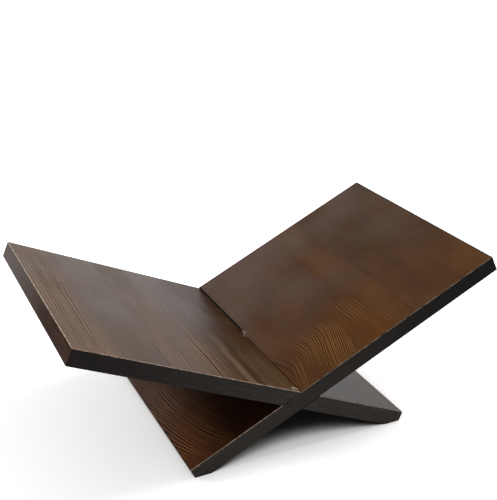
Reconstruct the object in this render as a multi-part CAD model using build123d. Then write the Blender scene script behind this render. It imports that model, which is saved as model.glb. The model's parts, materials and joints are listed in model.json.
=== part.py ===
from build123d import *
import math
import os

# Book display stand made of two identical veneered boards that cross in an X.
# Each board leans over the crease of the V that the book lies in, and has a slot cut
# from one long edge to half its depth. The slots face each other and slide together,
# so each board fills the other's slot. All lengths are in millimetres.

# Sizes of one board, measured along it from the crease, and across its depth
upper_length = 220.0
lower_length = 119.0
board_depth = 250.0

# Layers of the board and the bands on its edges
core_thickness = 15.0
veneer_thickness = 0.4
band_thickness = 1.0
outer_leaf_width = 90.0
arris_radius = 0.6

# How the boards stand and fit each other
board_slope = 24.8
foot_cut_depth = 6.6
slot_clearance = 0.4
slot_end_gap = 2.0

# The right board is the left one turned about the upright axis, in degrees
half_turn = 180.0

# How far the cutting solids run past what they cut
cut_overrun = 5.0

# Values worked out from the sizes
board_thickness = core_thickness + 2 * veneer_thickness
half_depth = board_depth / 2
slope = math.radians(board_slope)
crossing = 2 * slope
foot_end_height = board_thickness - foot_cut_depth
crease_height = lower_length * math.sin(slope) + foot_end_height * math.cos(slope)

# Places along the board: zero at the crease, plus towards the upper end.
# The inner seams run on from the slot's upper wall, where it meets the core.
upper_band_seat = upper_length - band_thickness
foot_band_seat = band_thickness - lower_length
outer_seam = upper_length - outer_leaf_width
face_seam = slot_clearance / math.sin(crossing)
back_seam = face_seam + (board_thickness - veneer_thickness) / math.tan(crossing)
slot_centre = -board_thickness / 2 * math.tan(slope)

# Places through the thickness: zero on the face that holds the book
core_top = -veneer_thickness
core_bottom = core_top - core_thickness

# Place across the depth: zero on the centre line, plus towards the slotted edge
band_seat = half_depth - band_thickness

# Ends of the region boxes, clear outside the board
past_upper_end = upper_length + cut_overrun
past_foot_end = -lower_length - cut_overrun
past_face = cut_overrun
past_back = -board_thickness - cut_overrun
past_edge = half_depth + cut_overrun


def board_plane(side):
    """A board's face: x runs up the board from the crease and z stands out of the face.

    The side is -1 for the board that rises to the left and 1 for the other.
    """
    return Plane(
        origin=(0, 0, crease_height),
        x_dir=(side * math.cos(slope), 0, math.sin(slope)),
        z_dir=(-side * math.sin(slope), 0, math.cos(slope)),
    )


left_plane = board_plane(-1)
right_plane = board_plane(1)


def block(start, end, low_edge, high_edge, bottom, top):
    """Box between places along a board, across its depth and through its thickness."""
    corner = Pos(start, low_edge, bottom)
    return corner * Box(end - start, high_edge - low_edge, top - bottom, align=Align.MIN)


def slot_space():
    """What the right board takes up in the left one, with the clearance on both faces.

    The walls of the slot so made lean with the other board's faces. It opens at the front.
    """
    reach = (board_thickness + slot_clearance) / math.sin(crossing) + cut_overrun
    slab = block(
        -reach,
        reach,
        -past_edge,
        slot_end_gap / 2,
        -board_thickness - slot_clearance,
        slot_clearance,
    )
    return right_plane.location * slab


def below_floor():
    """The space under the floor, which saws the foot flat."""
    top_centre = (Align.CENTER, Align.CENTER, Align.MAX)
    return Box(2 * past_upper_end, 2 * past_edge, board_thickness, align=top_centre)


def finished_board():
    """The outside of the left board: arrises rounded, slot cut and foot sawn flat."""
    blank = block(-lower_length, upper_length, -half_depth, half_depth, -board_thickness, 0)
    blank = fillet(blank.edges(), arris_radius)
    return left_plane.location * blank - slot_space() - below_floor()


def piece_of(board, *region):
    """The piece of the finished board that lies in a region, so cuts and roundings line up."""
    return board & (left_plane.location * block(*region))


def core_panel(board):
    """Core, one panel from band to band."""
    return piece_of(
        board, foot_band_seat, upper_band_seat, -band_seat, band_seat, core_bottom, core_top
    )


def face_leaf(board, start, end):
    """Leaf of the veneer that the book lies on."""
    return piece_of(board, start, end, -band_seat, band_seat, core_top, past_face)


def back_leaf(board, start, end):
    """Leaf of the veneer on the underside."""
    return piece_of(board, start, end, -band_seat, band_seat, past_back, core_bottom)


def upper_end_band(board):
    """Band across the upper end, between the long bands."""
    return piece_of(
        board, upper_band_seat, past_upper_end, -band_seat, band_seat, past_back, past_face
    )


def foot_end_band(board):
    """Band across the lower end, sawn with the foot."""
    return piece_of(
        board, past_foot_end, foot_band_seat, -band_seat, band_seat, past_back, past_face
    )


def plain_edge_band(board):
    """Band along the whole of the long edge that has no slot."""
    return piece_of(
        board, past_foot_end, past_upper_end, -past_edge, -band_seat, past_back, past_face
    )


def slotted_edge_band(board, start, end):
    """Band on the slotted long edge, up to the slot from one side."""
    return piece_of(board, start, end, band_seat, past_edge, past_back, past_face)


def board_pieces():
    """Every piece of the left board, by name."""
    board = finished_board()
    return {
        "core_panel": core_panel(board),
        "face_outer_leaf": face_leaf(board, outer_seam, upper_band_seat),
        "face_inner_leaf": face_leaf(board, face_seam, outer_seam),
        "face_foot_leaf": face_leaf(board, foot_band_seat, face_seam),
        "back_outer_leaf": back_leaf(board, outer_seam, upper_band_seat),
        "back_inner_leaf": back_leaf(board, back_seam, outer_seam),
        "back_foot_leaf": back_leaf(board, foot_band_seat, back_seam),
        "upper_end_band": upper_end_band(board),
        "foot_end_band": foot_end_band(board),
        "plain_edge_band": plain_edge_band(board),
        "slotted_edge_upper_band": slotted_edge_band(board, slot_centre, past_upper_end),
        "slotted_edge_lower_band": slotted_edge_band(board, past_foot_end, slot_centre),
    }


def write_board(side, pieces, degrees):
    """Writes one board's pieces, turned about the upright axis through the crease."""
    for name, piece in pieces.items():
        export_step(piece.rotate(Axis.Z, degrees), f"parts/{side}_{name}.step")


os.makedirs("parts", exist_ok=True)
pieces = board_pieces()
write_board("left", pieces, 0)
write_board("right", pieces, half_turn)
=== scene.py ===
import json
import math

import bpy
from mathutils import Matrix, Vector


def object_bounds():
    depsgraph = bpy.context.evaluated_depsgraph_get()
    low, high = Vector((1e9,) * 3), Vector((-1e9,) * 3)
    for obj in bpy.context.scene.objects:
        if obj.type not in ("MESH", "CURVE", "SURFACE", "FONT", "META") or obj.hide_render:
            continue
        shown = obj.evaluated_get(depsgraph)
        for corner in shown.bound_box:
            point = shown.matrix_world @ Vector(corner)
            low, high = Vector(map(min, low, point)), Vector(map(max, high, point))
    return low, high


# Looks of a book display stand: two veneered boards that cross in an X.
# Places on a board are in millimetres: s runs up the board from the crease, y across its
# depth towards the back, and n stands out of the face that the book lies on. The grain
# runs along y. The camera, floor and lamps are in metres, as the frame is.

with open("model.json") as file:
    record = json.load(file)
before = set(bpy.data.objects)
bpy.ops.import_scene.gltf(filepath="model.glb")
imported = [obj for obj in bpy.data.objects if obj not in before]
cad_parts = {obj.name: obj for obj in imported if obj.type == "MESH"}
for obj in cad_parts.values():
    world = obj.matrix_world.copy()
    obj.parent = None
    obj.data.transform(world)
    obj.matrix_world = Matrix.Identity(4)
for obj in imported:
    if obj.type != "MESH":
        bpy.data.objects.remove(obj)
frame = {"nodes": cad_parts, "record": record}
cad_low, cad_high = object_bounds()

# Millimetres in a metre, the frame's own unit
millimetres = 1000

# Camera at the photograph's viewing angle, with lengths in metres and angles in degrees
camera_azimuth = -23.798
camera_elevation = 22.378
camera_roll = -1.336
camera_distance = 0.92855
camera_aim = Vector((0.006875, 0, 0.14805))
focal_pixels = 961.27
photo_height_pixels = 500
sensor_millimetres = 36

# Floor: the camera sees it white, but for the dark shade close to the feet, and far away
# it glows into the white around it. The shade depends on how open the floor is within
# reach, from 0 to 1, counted about a direction that leans to the right.
floor_half_width = 6
floor_white = 0.8
seen_floor_white = 1.22
seen_floor_glow = 0.33
far_glow = 0.3
far_glow_reach = (0.8, 2.5)
contact_reach = 0.08
contact_lean = (0.15, 0, 1)
contact_samples = 48
contact_openness = (0.15, 0.385)
contact_shade = 0.01

# Surroundings: an even fill, and what the gloss mirrors. That is a pale horizon, a pale
# backdrop that stands higher on the left, a dark ceiling, and little of it all in front.
# Each pair is where a change starts and ends, as a part of a direction of length 1.
sky_fill = 0.42
horizon_shine = 0.94
ceiling_shine = 0.02
front_shine = 0.1
horizon_top = (0.08, 0.38)
backdrop_top = (0.4, 0.62)
backdrop_side = (0.1, 0.45)
front_to_behind = (-0.4, 0.4)

# Softboxes, with angles in degrees: azimuth 0 is to the right of the object and 90 behind it
softbox_width = 1.5
softbox_distance = 3
softboxes = {
    "key_softbox": {"azimuth": 10, "elevation": 50, "watts": 53},
    "back_softbox": {"azimuth": 90, "elevation": 22, "watts": 19},
    "back_left_softbox": {"azimuth": 135, "elevation": 22, "watts": 35},
}


class Graph:
    """The nodes of one material. Sockets or plain values go in, and sockets come out."""

    def __init__(self, tree):
        self.tree = tree
        self.tree.nodes.clear()

    def node(self, kind, inputs=(), **settings):
        """A node with its settings, and its inputs linked or set by name or number."""
        made = self.tree.nodes.new("ShaderNode" + kind)
        for setting, value in settings.items():
            setattr(made, setting, value)
        for key, value in dict(inputs).items():
            self.feed(made.inputs[key], value)
        return made

    def feed(self, socket, value):
        """Links a socket to an input, or sets the input to a number or colour."""
        if isinstance(value, bpy.types.NodeSocket):
            self.tree.links.new(value, socket)
        elif socket.type == "RGBA" and len(value) == 3:
            socket.default_value = (*value, 1)
        else:
            socket.default_value = value

    def math(self, operation, *values):
        """The result of one operation on numbers."""
        return self.node("Math", dict(enumerate(values)), operation=operation).outputs[0]

    def add(self, first, *others):
        """The sum of two numbers or more."""
        for other in others:
            first = self.math("ADD", first, other)
        return first

    def times(self, first, *others):
        """The product of two numbers or more."""
        for other in others:
            first = self.math("MULTIPLY", first, other)
        return first

    def step(self, value, start, end, low=0.0, high=1.0):
        """A smooth step from low at start to high at end."""
        inputs = {"Value": value, 1: start, 2: end, 3: low, 4: high}
        return self.node("MapRange", inputs, interpolation_type="SMOOTHSTEP").outputs[0]

    def point(self, x, y, z):
        """A point from its three numbers."""
        return self.node("CombineXYZ", {0: x, 1: y, 2: z}).outputs[0]

    def noise(self, where, detail=2.0, roughness=0.5):
        """Smooth noise, mostly from a quarter to three quarters, in features of one unit."""
        inputs = {"Vector": where, "Scale": 1.0, "Detail": detail, "Roughness": roughness}
        return self.node("TexNoise", inputs).outputs[0]

    def swing(self, noise, width):
        """Noise moved to lie about zero, and scaled to a width."""
        return self.times(self.add(noise, -0.5), width)

    def blend(self, share, first, second):
        """A colour between two others. The node keeps its colours at 6, 7 and 2."""
        inputs = {0: share, 6: first, 7: second}
        return self.node("Mix", inputs, data_type="RGBA").outputs[2]

    def scale_colour(self, colour, factor):
        """A colour made darker or lighter by a factor."""
        inputs = {0: colour, "Scale": factor}
        return self.node("VectorMath", inputs, operation="SCALE").outputs[0]


# Frame and sizes of a board, read from the place where a book rests and from the nodes

mounts = {mount["name"]: mount for mount in frame["record"]["mounts"]}
book_rest = mounts["left_book_rest"]
rest_normal = Vector(book_rest["axis"])
slope = math.atan2(rest_normal.x, rest_normal.z)
crease_height = Vector(book_rest["pos_m"]).dot(rest_normal) / rest_normal.z * millimetres
crease = Vector((0, 0, crease_height))
up_right_board = Vector((math.cos(slope), 0, math.sin(slope)))
out_of_right_face = Vector((-math.sin(slope), 0, math.cos(slope)))


def span(node_name, direction):
    """Lowest and highest place on a node of the right board, along a direction."""
    places = [
        (vertex.co * millimetres - crease).dot(direction)
        for vertex in frame["nodes"][node_name].data.vertices
    ]
    return min(places), max(places)


lower_length = -span("right_foot_end_band", up_right_board)[0]
upper_length = span("right_upper_end_band", up_right_board)[1]
leaf_seam = span("right_face_outer_leaf", up_right_board)[0]
board_thickness = -span("right_upper_end_band", out_of_right_face)[0]
half_depth = cad_high.y * millimetres
crossing_width = board_thickness / math.sin(2 * slope)

# Share of a painted stripe's width that has its full strength
stripe_core_share = 0.45


def board_place(g, side):
    """The sockets s, y and n on a board, from the object's own coordinates.

    The side is -1 for the board that rises to the left and 1 for the other.
    """
    inputs = {
        "Vector": g.node("TexCoord").outputs["Object"],
        "Location": (-crease_height * math.sin(slope), 0, -crease_height * math.cos(slope)),
        "Rotation": (0, slope, 0),
        "Scale": (side * millimetres, millimetres, millimetres),
    }
    place = g.node("Mapping", inputs).outputs[0]
    return g.node("SeparateXYZ", {0: place}).outputs


def principled(g, colour, roughness, gloss, height, height_millimetres):
    """Finishes a material: its colour, roughness and gloss, and its relief from a height."""
    bump = g.node("Bump", {"Height": height, "Distance": height_millimetres / millimetres})
    inputs = {
        "Base Color": colour,
        "Roughness": roughness,
        "Specular IOR Level": gloss,
        "Normal": bump.outputs[0],
    }
    shader = g.node("BsdfPrincipled", inputs)
    g.node("OutputMaterial", {"Surface": shader.outputs[0]})


def new_material(name):
    """An empty material and its graph."""
    material = bpy.data.materials.new(name)
    material.use_nodes = True
    return material, Graph(material.node_tree)


def patches(g, s, y, size, seed, **texture):
    """Noise over a face, with features of a size across the grain and one along it."""
    width, length = size
    return g.noise(g.point(g.times(s, 1 / width), g.times(y, 1 / length), seed), **texture)


def specks(g, place, size, detail):
    """Noise through a board, with features of three sizes, along s, y and n."""
    scaled = [g.times(part, 1 / width) for part, width in zip(place, size)]
    return g.noise(g.point(*scaled), detail=detail)


def stripe(g, place, middle, half_width):
    """1 on a straight stripe, fading to 0 at its half width."""
    off = g.math("ABSOLUTE", g.math("SUBTRACT", place, middle))
    return g.step(off, half_width * stripe_core_share, half_width, 1.0, 0.0)


# Grain of the veneer. Sizes in pairs are one across the grain and one along it. Early wood
# starts and ends over parts of a year's growth, and pores reach over parts of a cell.

slow_sway = 9
slow_sway_size = (50, 150)
quick_sway = 1.2
quick_sway_size = (7, 35)
years_in_a_bunch = 5
bunching = 1.6
early_wood_start = (0.0, 0.2)
early_wood_end = (0.4, 0.8)
palest_year = 0.5
pore_size = (0.42, 6.5)
pore_reach = 0.1
crowded_pore_reach = 0.3
pore_edge = 0.12
line_patch_size = (22, 50)
faint_patch_strength = 0.3


def natural_drift(g, s, y, seed):
    """The place across the grain, s, swayed a little so that no line is quite straight."""
    slow = patches(g, s, y, slow_sway_size, seed)
    quick = patches(g, s, y, quick_sway_size, seed)
    return g.add(s, g.swing(slow, slow_sway), g.swing(quick, quick_sway))


def fanned(g, s, across, y, fan):
    """The place across the grain on a leaf whose lines fan out near the crease.

    Each line bulges away from the crease where it meets the bend, and leans back on both
    sides of it. Behind the fan and past its edge the lines are straight.
    """
    bend = g.add(g.times(across, fan["bend_lean"]), fan["bend_start"])
    off = g.math("SUBTRACT", g.math("MINIMUM", y, fan["end"]), bend)
    softness = fan["bend_softness"]
    swell = g.add(g.math("SQRT", g.add(g.times(off, off), softness**2)), -softness)
    behind = g.step(across, *fan["behind_places"], *fan["behind_leans"])
    lean = g.step(off, -fan["bend_turn"], fan["bend_turn"], fan["front_lean"], behind)
    place = g.add(across, g.times(swell, lean))
    wide = g.times(place, fan["wide"])
    fine = g.add(g.times(place, fan["fine"]), (fan["wide"] - fan["fine"]) * fan["wide_until"])
    place = g.math("MAXIMUM", wide, fine)
    inside = g.math("LESS_THAN", s, fan["edge"])
    return g.add(across, g.times(inside, g.math("SUBTRACT", place, across)))


def slanted(g, across, y, slant):
    """The place across the grain on a leaf whose lines lean over more towards the front."""
    forward = g.math("MAXIMUM", g.times(y, -1 / half_depth), 0.0)
    return g.add(across, g.times(forward, forward, -slant))


def grain_place(g, s, y, leaf):
    """The place across the grain on a leaf, with all that bends its lines."""
    across = natural_drift(g, s, y, leaf["seed"])
    if "fan" in leaf:
        across = fanned(g, s, across, y, leaf["fan"])
    if "slant" in leaf:
        across = slanted(g, across, y, leaf["slant"])
    return across


def growth_lines(g, across, spacing, seed):
    """Dark early wood of each year's growth: 1 in its core and 0 in the pale late wood.

    The years lie closer in some bunches than in others, and some years are darker.
    """
    slow = g.noise(g.point(g.times(across, 1 / (years_in_a_bunch * spacing)), 0.0, seed))
    count = g.add(g.times(across, 1 / spacing), g.times(slow, bunching))
    phase = g.math("FRACT", count)
    year = g.node("TexWhiteNoise", {"W": g.math("FLOOR", count)}, noise_dimensions="1D")
    early = g.times(g.step(phase, *early_wood_start), g.step(phase, *early_wood_end, 1.0, 0.0))
    darkness = g.add(g.times(year.outputs[0], 1 - palest_year), palest_year)
    return g.times(early, darkness)


def open_pores(g, across, y, seed, crowding):
    """Short dark slits along the grain, crowded where the early wood is."""
    width, length = pore_size
    place = g.point(g.times(across, 1 / width), g.times(y, 1 / length), seed)
    cells = g.node("TexVoronoi", {"Vector": place, "Scale": 1.0}, voronoi_dimensions="3D")
    reach = g.add(g.times(crowding, crowded_pore_reach), pore_reach)
    return g.step(cells.outputs["Distance"], reach, g.add(reach, pore_edge), 1.0, 0.0)


def line_strength(g, s, y, leaf):
    """How clearly the growth lines show at each place on a leaf."""
    shown = leaf["plain"]
    for strength, middle, half_width, centre, half_length in leaf["lined"]:
        area = g.times(stripe(g, s, middle, half_width), stripe(g, y, centre, half_length))
        shown = g.math("MAXIMUM", shown, g.times(area, strength))
    patchy = patches(g, s, y, line_patch_size, leaf["seed"] + 3.0)
    return g.times(shown, g.step(patchy, 0.33, 0.6, faint_patch_strength, 1.0))


# Stain, painted light and shade, a painted sheen, and damage on the veneer. A pair of places is
# where a change starts and ends.

# Where the painted light on the veneer stops changing, towards the back
painted_light_back = 60
blotch_size = (38, 55)
blotch_depth = 0.22
streak_sway = 14
streak_sway_length = 60
streak_front_to_back = (-110, 15)
# Size of the clouds in the painted sheen
sheen_cloud_size = (60, 70)
slot_shade_half_width = 3.2
slot_shade_start = (0, 12)
chips_from_centre = 3
chips_reach = (1.8, 3.2)
chips_flattening = 0.3
crease_specks_reach = (1.2, 2.2)
grit_per_millimetre = 1.4
splinter_size = (1, 15)
splinter_reach = (6, 11)


def stain_blotches_and_painted_light(g, s, y, leaf):
    """A factor about 1 on the colour: blotches in the stain's depth, with painted light that
    makes the front lighter and painted shade beside the crease.
    """
    # Painted light: the colour is lighter at the front and darker at the back
    painted_light_front_to_back = g.step(y, -half_depth, painted_light_back, *leaf["painted_light_front_to_back"])
    from_crease = g.math("ABSOLUTE", s)
    # Painted shade: the colour darkens beside the crease, where the other board hides the light
    painted_shade_near_crease = g.step(from_crease, *leaf["crease_fade"], leaf["painted_crease_shade"], 1.0)
    blotch = patches(g, s, y, blotch_size, leaf["seed"] + 7.0, detail=3)
    blotchy = g.step(blotch, 0.25, 0.75, 1 - blotch_depth, 1 + blotch_depth)
    return g.times(painted_light_front_to_back, painted_shade_near_crease, blotchy)


def streaked(g, s, y, leaf, colour):
    """Adds broad wavy streaks along the grain."""
    wander = g.noise(g.point(g.times(y, 1 / streak_sway_length), 0.0, leaf["seed"]), detail=1)
    swayed = g.add(s, g.swing(wander, streak_sway))
    for middle, half_width, front, back, streak_colour in leaf["streaks"]:
        share = g.step(y, *streak_front_to_back, front, back)
        streak = g.times(stripe(g, swayed, middle, half_width), share)
        colour = g.blend(streak, colour, streak_colour)
    return colour


def stained_wood(g, s, y, leaf, tone):
    """The colour of the stained wood by its tone, about one half, with blotches, painted light
    and shade, and streaks.
    """
    colour = g.blend(g.step(tone, -0.1, 0.5), leaf["dark"], leaf["middle"])
    colour = g.blend(g.step(tone, 0.5, 1.1), colour, leaf["light"])
    colour = g.scale_colour(colour, stain_blotches_and_painted_light(g, s, y, leaf))
    return streaked(g, s, y, leaf, colour)


def painted_sheen(g, s, y, leaf):
    """How strongly a painted grey sheen, standing for reflected light, lies over the stain."""
    cloud = patches(g, s, y, sheen_cloud_size, leaf["seed"] + 9.0, detail=2)
    sheen = g.step(cloud, 0.4, 0.75, 0.0, 0.35)
    stronger_sheen = g.step(cloud, 0.2, 0.5, 0.05, 0.25)
    for middle, half_width in leaf["painted_sheen_stripes"]:
        sheen = g.add(sheen, g.times(stripe(g, s, middle, half_width), stronger_sheen))
    return g.times(sheen, g.step(y, *leaf["painted_sheen_front"]))


def painted_slot_shade(g, s, y, side, share):
    """Painted shade of the gap where the other board crosses, dark along the slot's edge, from 0
    to its share.
    """
    slotted_half = g.step(g.times(y, side), *slot_shade_start, 0.0, share)
    return g.times(stripe(g, s, 0.0, slot_shade_half_width), slotted_half)


def slot_end_chips(g, s, y, side, seed):
    """Pale chips where the slot ends and a few specks along the crease, from 0 to 1."""
    grit = g.point(g.times(s, grit_per_millimetre), y, seed)
    grit = g.noise(grit, detail=3, roughness=0.7)
    along = g.add(g.times(y, side), -chips_from_centre)
    from_end = g.math("SQRT", g.add(g.times(s, s), g.times(along, along, chips_flattening)))
    from_crease = g.math("ABSOLUTE", s)
    chipped = g.times(g.step(from_end, *chips_reach, 1.0, 0.0), g.step(grit, 0.5, 0.58))
    specked = g.step(from_crease, *crease_specks_reach, 1.0, 0.0)
    return g.math("MAXIMUM", chipped, g.times(specked, g.step(grit, 0.66, 0.72)))


def split_fibres(g, s, y, seed, share):
    """Pale fibres broken out at the front corner beside the crease, from 0 to their share."""
    fibre = patches(g, s, y, splinter_size, seed, detail=2)
    from_front = g.add(y, half_depth)
    corner = g.times(
        g.step(s, *splinter_reach, 1.0, 0.0), g.step(from_front, *splinter_reach, 1.0, 0.0)
    )
    return g.times(corner, g.step(fibre, 0.54, 0.6), share)


# Veneer: sizes, colours, how far each feature shifts the tone, its gloss and roughness,
# and its relief, with the heights as parts of that

fibre_size = (0.9, 45)
wave_size = (7, 80)
joint_half_width = 0.14
# Grey of the painted sheen, a painted reflection mixed into the veneer's colour
painted_sheen_grey = (0.098, 0.067, 0.055)
# Dark of the glue between leaves, also used for the painted shade along the slot
dark_glue_and_slot_shade = (0.006, 0.004, 0.003)
chip_pale = (0.55, 0.47, 0.38)
line_tone_middle = 0.4
fibre_tone = 0.35
pore_tone = -0.09
joint_strength = 0.5
line_openness = 0.9
pore_openness = 0.3
wood_roughness = (0.27, 0.33)
open_roughness = 0.15
closed_gloss = 0.34
open_gloss = 0.08
slot_shade_gloss_share = 0.1
unsheened_gloss_share = 0.62
sheened_gloss_share = 1.02
veneer_relief = 0.015
pore_height = -0.5
line_height = -0.25
fibre_height = 0.1
joint_height = -1.0

# Edge bands: how the arris wears, where the stain and gloss change, sizes and relief

arris_width = 0.45
arris_chip = 0.7
arris_chip_size = (6, 6)
arris_rub_size = (14, 14)
arris_on_face_share = 1.6
foot_wear = 0.35
foot_wear_top = (-25, 0)
upper_pale_start = (-20, 20)
back_gloss_start_share = -0.45
back_gloss_end_share = 1.6
band_streak_size = (25, 25, 1.6)
band_mottle_size = (3, 3, 3)
mottle_share = 0.25
band_roughness = (0.42, 0.55)
worn_roughness = 0.2
band_relief = 0.03
streak_height = 0.6
mottle_height = 0.3
worn_height = -0.5

# Core: flecks of fibre and the layers that pressing leaves

core_fleck_size = (0.4, 0.4, 0.4)
core_layer_size = (12, 12, 2)
core_dark = (0.30, 0.20, 0.12)
core_light = (0.52, 0.39, 0.26)
layer_share = 0.3
core_roughness = (0.75, 0.9)
core_gloss = 0.2
core_relief = 0.08


def veneer(name, side, leaf):
    """A stained leaf of open-pored veneer."""
    material, g = new_material(name)
    s, y = board_place(g, side)[:2]
    seed = leaf["seed"]
    across = grain_place(g, s, y, leaf)
    lines = growth_lines(g, across, leaf["spacing"], seed)
    shown = line_strength(g, s, y, leaf)
    pores = open_pores(g, across, y, seed, lines)
    fibre = patches(g, across, y, fibre_size, seed, detail=3)
    wave = patches(g, across, y, wave_size, seed + 5.0, detail=1)
    sheen = painted_sheen(g, s, y, leaf)
    joint = stripe(g, s, leaf_seam, joint_half_width)
    slot_shade = painted_slot_shade(g, s, y, side, leaf["slot_shade"])
    tone = g.add(
        0.5,
        g.times(g.add(lines, -line_tone_middle), shown, -leaf["contrast"]),
        g.swing(fibre, fibre_tone),
        g.swing(wave, leaf["wave"]),
        g.times(pores, pore_tone),
    )
    colour = stained_wood(g, s, y, leaf, tone)
    # Painted sheen: grey mixed into the colour as a painted reflection
    colour = g.blend(sheen, colour, painted_sheen_grey)
    colour = g.blend(g.times(joint, joint_strength), colour, dark_glue_and_slot_shade)
    # Painted shade: the slot's edge darkened where the gap between the boards lies in shade
    colour = g.blend(slot_shade, colour, dark_glue_and_slot_shade)
    colour = g.blend(slot_end_chips(g, s, y, side, seed), colour, chip_pale)
    colour = g.blend(split_fibres(g, s, y, seed, leaf["split"]), colour, chip_pale)
    open_grain = g.add(g.times(pores, pore_openness), g.times(lines, shown, line_openness))
    roughness = g.step(fibre, 0.3, 0.7, *wood_roughness)
    roughness = g.add(roughness, g.times(open_grain, open_roughness))
    gloss = g.times(
        g.step(open_grain, 0.0, 1.0, closed_gloss, open_gloss),
        g.step(slot_shade, 0.0, 1.0, 1.0, slot_shade_gloss_share),
        g.step(sheen, 0.0, 0.3, unsheened_gloss_share, sheened_gloss_share),
        g.step(g.math("ABSOLUTE", s), *leaf["crease_fade"], leaf["crease_gloss"], 1.0),
    )
    height = g.add(
        g.times(pores, pore_height),
        g.times(lines, line_height),
        g.times(fibre, fibre_height),
        g.times(joint, joint_height),
    )
    principled(g, colour, roughness, gloss, height, veneer_relief)
    return material


def worn_arris(g, place, wear, seed):
    """Where handling has taken the stain off the arrises of the face, from 0 to 1.

    None is taken off where the other board crosses.
    """
    s, y, n = place
    from_side = g.math("SUBTRACT", half_depth, g.math("ABSOLUTE", y))
    from_end = g.math("MINIMUM", g.math("SUBTRACT", upper_length, s), g.add(s, lower_length))
    from_outside = g.math("MINIMUM", from_side, from_end)
    chips = patches(g, s, y, arris_chip_size, seed, detail=4, roughness=0.65)
    reach = g.add(arris_width, g.step(chips, 0.6, 0.75, 0.0, arris_chip))
    rubbed = patches(g, s, y, arris_rub_size, seed + 2.0, detail=3)
    rubbed = g.add(rubbed, g.step(s, *foot_wear_top, foot_wear, 0.0), wear)
    from_crossing = g.math("ABSOLUTE", g.add(s, crossing_width / 2))
    inside = g.times(
        g.math("GREATER_THAN", n, g.times(reach, -1)),
        g.math("LESS_THAN", from_outside, g.times(reach, arris_on_face_share)),
        g.math("GREATER_THAN", from_crossing, crossing_width / 2),
    )
    return g.times(inside, g.step(rubbed, 0.75, 0.95))


def edge_band(name, side, band):
    """A dark stained band on a board's edge, with its arrises rubbed pale, and painted light
    that makes it lighter towards the foot.
    """
    material, g = new_material(name)
    place = board_place(g, side)
    s, y = place[:2]
    streak = specks(g, place, band_streak_size, detail=3)
    mottle = specks(g, place, band_mottle_size, detail=4)
    tone = g.add(g.times(streak, 1 - mottle_share), g.times(mottle, mottle_share))
    colour = g.blend(g.step(tone, 0.38, 0.62), band["dark"], band["light"])
    # Painted light: the band is lighter near the floor, where the floor would light it more
    colour = g.scale_colour(colour, g.step(s, -lower_length, upper_length, *band["painted_light_foot_to_top"]))
    worn = worn_arris(g, place, band["wear"], band["seed"])
    pale = g.blend(g.step(mottle, 0.35, 0.65), *band["pale"])
    pale = g.scale_colour(pale, g.step(s, *upper_pale_start, 1.0, band["upper_pale"]))
    colour = g.blend(worn, colour, pale)
    roughness = g.step(tone, 0.3, 0.7, *band_roughness)
    roughness = g.add(roughness, g.times(worn, worn_roughness))
    gloss = band["gloss"]
    if "back_gloss" in band:
        start = back_gloss_start_share * half_depth
        end = back_gloss_end_share * half_depth
        gloss = g.step(y, start, end, gloss, band["back_gloss"])
    height = g.add(
        g.times(streak, streak_height),
        g.times(mottle, mottle_height),
        g.times(worn, worn_height),
    )
    principled(g, colour, roughness, gloss, height, band_relief)
    return material


def core(name, side):
    """Raw sawn fibreboard, which shows on the walls of the slot and under the foot."""
    material, g = new_material(name)
    place = board_place(g, side)
    fleck = specks(g, place, core_fleck_size, detail=4)
    layer = specks(g, place, core_layer_size, detail=2)
    tone = g.add(g.times(fleck, 1 - layer_share), g.times(layer, layer_share))
    colour = g.blend(g.step(tone, 0.3, 0.7), core_dark, core_light)
    roughness = g.step(fleck, 0.3, 0.7, *core_roughness)
    principled(g, colour, roughness, core_gloss, fleck, core_relief)
    return material


# Leaves of veneer, whose entries are:
# dark, middle and light: the stain on early wood, between the lines and on late wood
# seed: where the leaf lies in the noise, so that no two leaves are alike
# spacing: the width of a year's growth
# lined: areas whose growth lines show, each with how strongly they do, its middle and half
#     width across the grain, and its middle and half length along it
# plain: how strongly the lines show elsewhere
# contrast and wave: how far the lines, and slow waves beside them, change the tone
# fan or slant: how the lines bend, where they do
# streaks: each with its middle and half width across the grain, its share at the front and
#     at the back, and its colour
# painted_sheen_stripes: stripes of stronger painted sheen, each with its middle and half
#     width across the grain
# painted_sheen_front: the places along the grain where the painted sheen starts and where it
#     is whole
# painted_light_front_to_back: factors on the colour at the front and at the back, as painted
#     light that is stronger at the front
# painted_crease_shade and crease_gloss: factors beside the crease on the colour, as painted
#     shade, and on the gloss
# crease_fade: the distances from the crease between which those two factors fade out
# slot_shade and split: the shares of painted shade along the slot and of split pale fibres

pale_streak = (0.17, 0.11, 0.065)
dark_streak = (0.035, 0.015, 0.006)
warm = {
    "dark": (0.030, 0.008, 0.001),
    "middle": (0.084, 0.028, 0.003),
    "light": (0.170, 0.072, 0.014),
}
red = {
    "dark": (0.026, 0.006, 0.001),
    "middle": (0.088, 0.0255, 0.004),
    "light": (0.180, 0.066, 0.016),
}
cool = {
    "dark": (0.036, 0.014, 0.004),
    "middle": (0.084, 0.036, 0.012),
    "light": (0.140, 0.070, 0.028),
}
usual = {
    "spacing": 2.4,
    "lined": [],
    "plain": 0.15,
    "contrast": 1.6,
    "wave": 0.3,
    "streaks": [],
    "painted_sheen_stripes": [],
    "painted_sheen_front": (-90, 30),
    "painted_light_front_to_back": (1.05, 0.8),
    "crease_fade": (20, 85),
    "painted_crease_shade": 1.0,
    "crease_gloss": 1.0,
    "slot_shade": 1.0,
    "split": 0.0,
}

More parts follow.
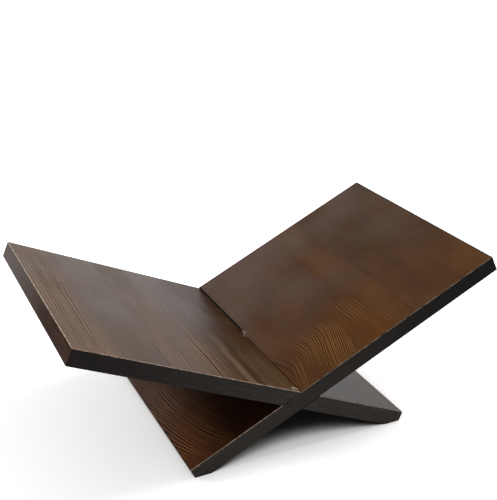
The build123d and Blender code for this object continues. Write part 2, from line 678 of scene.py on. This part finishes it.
# Fan of lines near the crease. It bends at bend_start on the crease, and each step up the
# board moves the bend back by bend_lean. Lines fall away from the bend by front_lean in
# front of it, and by behind_leans behind it, which change between the behind_places. Up to
# wide_until the years are wide, and past it they are fine. Behind end and past edge the
# lines run straight.
crease_fan = {
    "bend_start": -96,
    "bend_lean": 0.57,
    "bend_softness": 10,
    "bend_turn": 6,
    "front_lean": 0.4,
    "behind_leans": (0.3, 0.12),
    "behind_places": (10, 35),
    "wide": 0.7,
    "fine": 1.4,
    "wide_until": 25,
    "end": -35,
    "edge": 71.5,
}
leaves = {
    "left_face_outer": {
        **usual,
        **cool,
        "seed": 1.0,
        "spacing": 3.6,
        "lined": [(0.85, 202, 21, -125, 330)],
        "contrast": 1.7,
        "streaks": [(148, 42, 0.5, 0.36, dark_streak), (207, 45, 0.24, 0.12, pale_streak)],
        "painted_sheen_stripes": [(150, 30), (80, 20)],
        "painted_light_front_to_back": (1.22, 1.1),
    },
    "left_face_inner": {
        **usual,
        **cool,
        "seed": 2.0,
        "spacing": 4.4,
        "lined": [
            (0.45, 80, 18, -125, 265),
            (0.75, 78, 20, -125, 110),
            (0.5, 104, 12, -125, 60),
            (0.6, 45, 30, -125, 100),
        ],
        "contrast": 1.7,
        "wave": 0.6,
        "streaks": [
            (8, 11, 0.22, 0.0, pale_streak),
            (22, 14, 0.26, 0.0, pale_streak),
            (33, 4, 0.2, 0.02, pale_streak),
            (42, 4, 0.3, 0.03, dark_streak),
            (50, 6, 0.55, 0.05, pale_streak),
            (58, 4, 0.35, 0.03, dark_streak),
            (110, 40, 0.3, 0.1, dark_streak),
        ],
        "painted_sheen_stripes": [(72, 28), (60, 50)],
        "painted_sheen_front": (-50, 115),
        "painted_light_front_to_back": (1.35, 0.87),
        "crease_fade": (25, 108),
        "painted_crease_shade": 0.5,
        "crease_gloss": 0.4,
        "slot_shade": 0.0,
        "split": 1.0,
    },
    "left_face_foot": {
        **usual,
        **cool,
        "seed": 3.0,
        "painted_sheen_stripes": [(-70, 60)],
        "crease_fade": (100, 140),
        "painted_crease_shade": 0.6,
        "crease_gloss": 1.45,
    },
    "right_face_outer": {
        **usual,
        **cool,
        "seed": 4.0,
        "streaks": [(148, 24, 0.2, 0.15, dark_streak)],
        "painted_sheen_stripes": [(200, 35)],
        "painted_light_front_to_back": (1.13, 0.8),
    },
    "right_face_inner": {
        **usual,
        **warm,
        "seed": 5.0,
        "spacing": 3.5,
        "lined": [
            (0.4, 12, 26, -125, 80),
            (1.35, 50, 30, -125, 84),
            (0.5, 91, 20, -40, 75),
            (0.25, 88, 24, -125, 60),
            (0.35, 118, 16, -90, 100),
        ],
        "plain": 0.1,
        "contrast": 1.4,
        "fan": crease_fan,
        "streaks": [(121, 24, 0.1, 0.15, pale_streak)],
        "painted_sheen_stripes": [(4, 18), (60, 45)],
        "painted_light_front_to_back": (1.1, 0.85),
    },
    "right_face_foot": {
        **usual,
        **red,
        "seed": 6.0,
        "spacing": 2.8,
        "lined": [(1.15, -94, 36, -56, 78)],
        "contrast": 2.2,
        "slant": 27,
        "crease_fade": (60, 113),
        "painted_crease_shade": 0.15,
        "crease_gloss": 0.3,
    },
    "left_back_outer": {**usual, **cool, "seed": 11.0, "lined": [(0.8, 170, 40, 0, 300)]},
    "left_back_inner": {
        **usual,
        **cool,
        "seed": 12.0,
        "lined": [(0.8, 60, 50, -125, 245)],
        "fan": crease_fan,
    },
    "left_back_foot": {**usual, **cool, "seed": 13.0, "lined": [(0.8, -60, 40, 0, 300)]},
    "right_back_outer": {**usual, **cool, "seed": 14.0, "lined": [(0.8, 190, 26, 0, 300)]},
    "right_back_inner": {
        **usual,
        **cool,
        "seed": 15.0,
        "lined": [(0.8, 90, 40, 0, 300)],
        "slant": 12,
    },
    "right_back_foot": {**usual, **cool, "seed": 16.0, "lined": [(0.8, -80, 50, 0, 300)]},
}

# Bands, whose entries are:
# dark and light: the two tones of the stain
# painted_light_foot_to_top: factors on the colour at the foot and at the upper end, as
#     painted light from the floor
# gloss and back_gloss: the gloss, and where it changes, the gloss towards the back
# wear: how much of the arris is rubbed pale, from none below 0 to all of it at 0.9
# pale and upper_pale: the two tones of the rubbed wood, and a factor on them above the crease

long_band = {
    "dark": (0.016, 0.0131, 0.0114),
    "light": (0.024, 0.0197, 0.0169),
    "painted_light_foot_to_top": (2.1, 0.45),
    "gloss": 0.12,
    "pale": ((0.22, 0.15, 0.11), (0.48, 0.37, 0.29)),
    "upper_pale": 1.0,
}
end_band = {
    "dark": (0.027, 0.0125, 0.008),
    "light": (0.070, 0.035, 0.023),
    "painted_light_foot_to_top": (1.0, 1.0),
    "gloss": 0.01,
    "back_gloss": 0.56,
    "pale": ((0.30, 0.22, 0.15), (0.62, 0.52, 0.42)),
    "upper_pale": 1.0,
}
bands = {
    "left_upper_end": {**end_band, "seed": 21.0, "wear": 0.9},
    "left_foot_end": {**end_band, "seed": 22.0, "wear": 0.2},
    "left_plain_edge": {**long_band, "seed": 23.0, "wear": 0.3},
    "left_slotted_edge_upper": {
        **long_band,
        "seed": 24.0,
        "painted_light_foot_to_top": (2.85, 0.82),
        "wear": 0.6,
    },
    "left_slotted_edge_lower": {
        **long_band,
        "seed": 25.0,
        "painted_light_foot_to_top": (2.7, 0.75),
        "wear": 0.15,
    },
    "right_upper_end": {**long_band, "seed": 26.0, "painted_light_foot_to_top": (1.0, 1.0), "wear": 0.05},
    "right_foot_end": {**end_band, "seed": 27.0, "wear": -0.2},
    "right_plain_edge": {
        **long_band,
        "seed": 28.0,
        "painted_light_foot_to_top": (2.3, 0.22),
        "wear": 0.42,
        "upper_pale": 0.62,
    },
    "right_slotted_edge_upper": {**long_band, "seed": 29.0, "wear": 0.35},
    "right_slotted_edge_lower": {**long_band, "seed": 30.0, "wear": 0.2},
}


def material_for(node_name):
    """The material of one CAD node, named after it."""
    side = -1 if node_name.startswith("left") else 1
    piece, kind = node_name.rsplit("_", 1)
    if kind == "leaf":
        return veneer(node_name, side, leaves[piece])
    if kind == "band":
        return edge_band(node_name, side, bands[piece])
    return core(node_name, side)


for node_name, node in frame["nodes"].items():
    for slot in node.material_slots:
        slot.link = "OBJECT"
        slot.material = material_for(node_name)


# Floor, world, lamps and camera


def contact_light(g):
    """How much light the floor has at each place, less where the feet close it in."""
    inputs = {"Distance": contact_reach, "Normal": contact_lean}
    openness = g.node("AmbientOcclusion", inputs, samples=contact_samples).outputs["AO"]
    return g.step(openness, *contact_openness, contact_shade, 1.0)


def floor_material():
    """White and matt where the camera sees it, pale grey to the object, clear from below."""
    material, g = new_material("floor")
    seen = g.node("LightPath").outputs["Is Camera Ray"]
    contact = contact_light(g)
    seen_white = g.scale_colour((1, 1, 1), g.times(contact, seen_floor_white))
    white = g.blend(seen, (floor_white,) * 3, seen_white)
    place = g.node("TexCoord").outputs["Object"]
    distance = g.node("VectorMath", {0: place}, operation="LENGTH").outputs["Value"]
    far = g.step(distance, *far_glow_reach, 0.0, far_glow)
    glow = g.times(seen, g.add(g.times(contact, seen_floor_glow), far))
    lit = g.node("BsdfDiffuse", {"Color": white}).outputs[0]
    shining = g.node("Emission", {"Strength": glow}).outputs[0]
    shader = g.node("AddShader", {0: lit, 1: shining}).outputs[0]
    below = g.node("NewGeometry").outputs["Backfacing"]
    clear = g.node("BsdfTransparent").outputs[0]
    mix = g.node("MixShader", {0: below, 1: shader, 2: clear}).outputs[0]
    g.node("OutputMaterial", {"Surface": mix})
    return material


def add_floor():
    """A square floor at height 0."""
    mesh = bpy.data.meshes.new("floor")
    w = floor_half_width
    mesh.from_pydata([(-w, -w, 0), (w, -w, 0), (w, w, 0), (-w, w, 0)], [], [(0, 1, 2, 3)])
    mesh.materials.append(floor_material())
    floor = bpy.data.objects.new("floor", mesh)
    bpy.context.scene.collection.objects.link(floor)


def mirrored_shine(g):
    """What a glossy surface mirrors in each direction."""
    direction = g.node("TexCoord").outputs["Generated"]
    sideways, depth, height = g.node("SeparateXYZ", {0: direction}).outputs
    horizon = g.step(height, *horizon_top, horizon_shine, ceiling_shine)
    backdrop = g.times(
        g.step(height, *backdrop_top, 1.0, 0.0), g.step(sideways, *backdrop_side, 1.0, 0.0)
    )
    shine = g.math("MAXIMUM", horizon, backdrop)
    return g.times(shine, g.step(depth, *front_to_behind, front_shine, 1.0))


def add_world():
    """White to the camera, an even fill for the light, and more shape for the gloss."""
    world = bpy.data.worlds.new("studio")
    world.use_nodes = True
    bpy.context.scene.world = world
    g = Graph(world.node_tree)
    path = g.node("LightPath").outputs
    mirrored = g.math("MAXIMUM", path["Is Glossy Ray"], path["Is Transmission Ray"])
    strength = g.blend(mirrored, (sky_fill,) * 3, mirrored_shine(g))
    strength = g.blend(path["Is Camera Ray"], strength, (1, 1, 1))
    background = g.node("Background", {"Color": (1, 1, 1), "Strength": strength})
    g.node("OutputWorld", {"Surface": background.outputs[0]})


def add_softbox(name, azimuth, elevation, watts):
    """A square lamp that faces the object and isn't mirrored in it."""
    lamp = bpy.data.lights.new(name, "AREA")
    lamp.size = softbox_width
    lamp.energy = watts
    holder = bpy.data.objects.new(name, lamp)
    bpy.context.scene.collection.objects.link(holder)
    turn = math.radians(azimuth)
    lift = math.radians(elevation)
    flat = softbox_distance * math.cos(lift)
    height = softbox_distance * math.sin(lift)
    holder.location = (flat * math.cos(turn), flat * math.sin(turn), height)
    holder.rotation_euler = holder.location.to_track_quat("Z", "Y").to_euler()
    holder.visible_glossy = False


def add_camera():
    """The camera, whose sensor is as wide as the longer side of the picture, its height."""
    azimuth = math.radians(camera_azimuth)
    elevation = math.radians(camera_elevation)
    roll = math.radians(camera_roll)
    back = Vector(
        (
            math.sin(azimuth) * math.cos(elevation),
            -math.cos(azimuth) * math.cos(elevation),
            math.sin(elevation),
        )
    )
    level = Vector((math.cos(azimuth), math.sin(azimuth), 0))
    upright = back.cross(level)
    right = level * math.cos(roll) + upright * math.sin(roll)
    up = upright * math.cos(roll) - level * math.sin(roll)
    camera = bpy.data.cameras.new("camera")
    camera.lens = focal_pixels / photo_height_pixels * sensor_millimetres
    camera.sensor_width = sensor_millimetres
    holder = bpy.data.objects.new("camera", camera)
    bpy.context.scene.collection.objects.link(holder)
    place = Matrix.Translation(camera_aim + back * camera_distance)
    holder.matrix_world = place @ Matrix((right, up, back)).transposed().to_4x4()
    bpy.context.scene.camera = holder


add_floor()
add_world()
for name, lamp in softboxes.items():
    add_softbox(name, **lamp)
add_camera()
bpy.context.scene.view_settings.view_transform = "Standard"
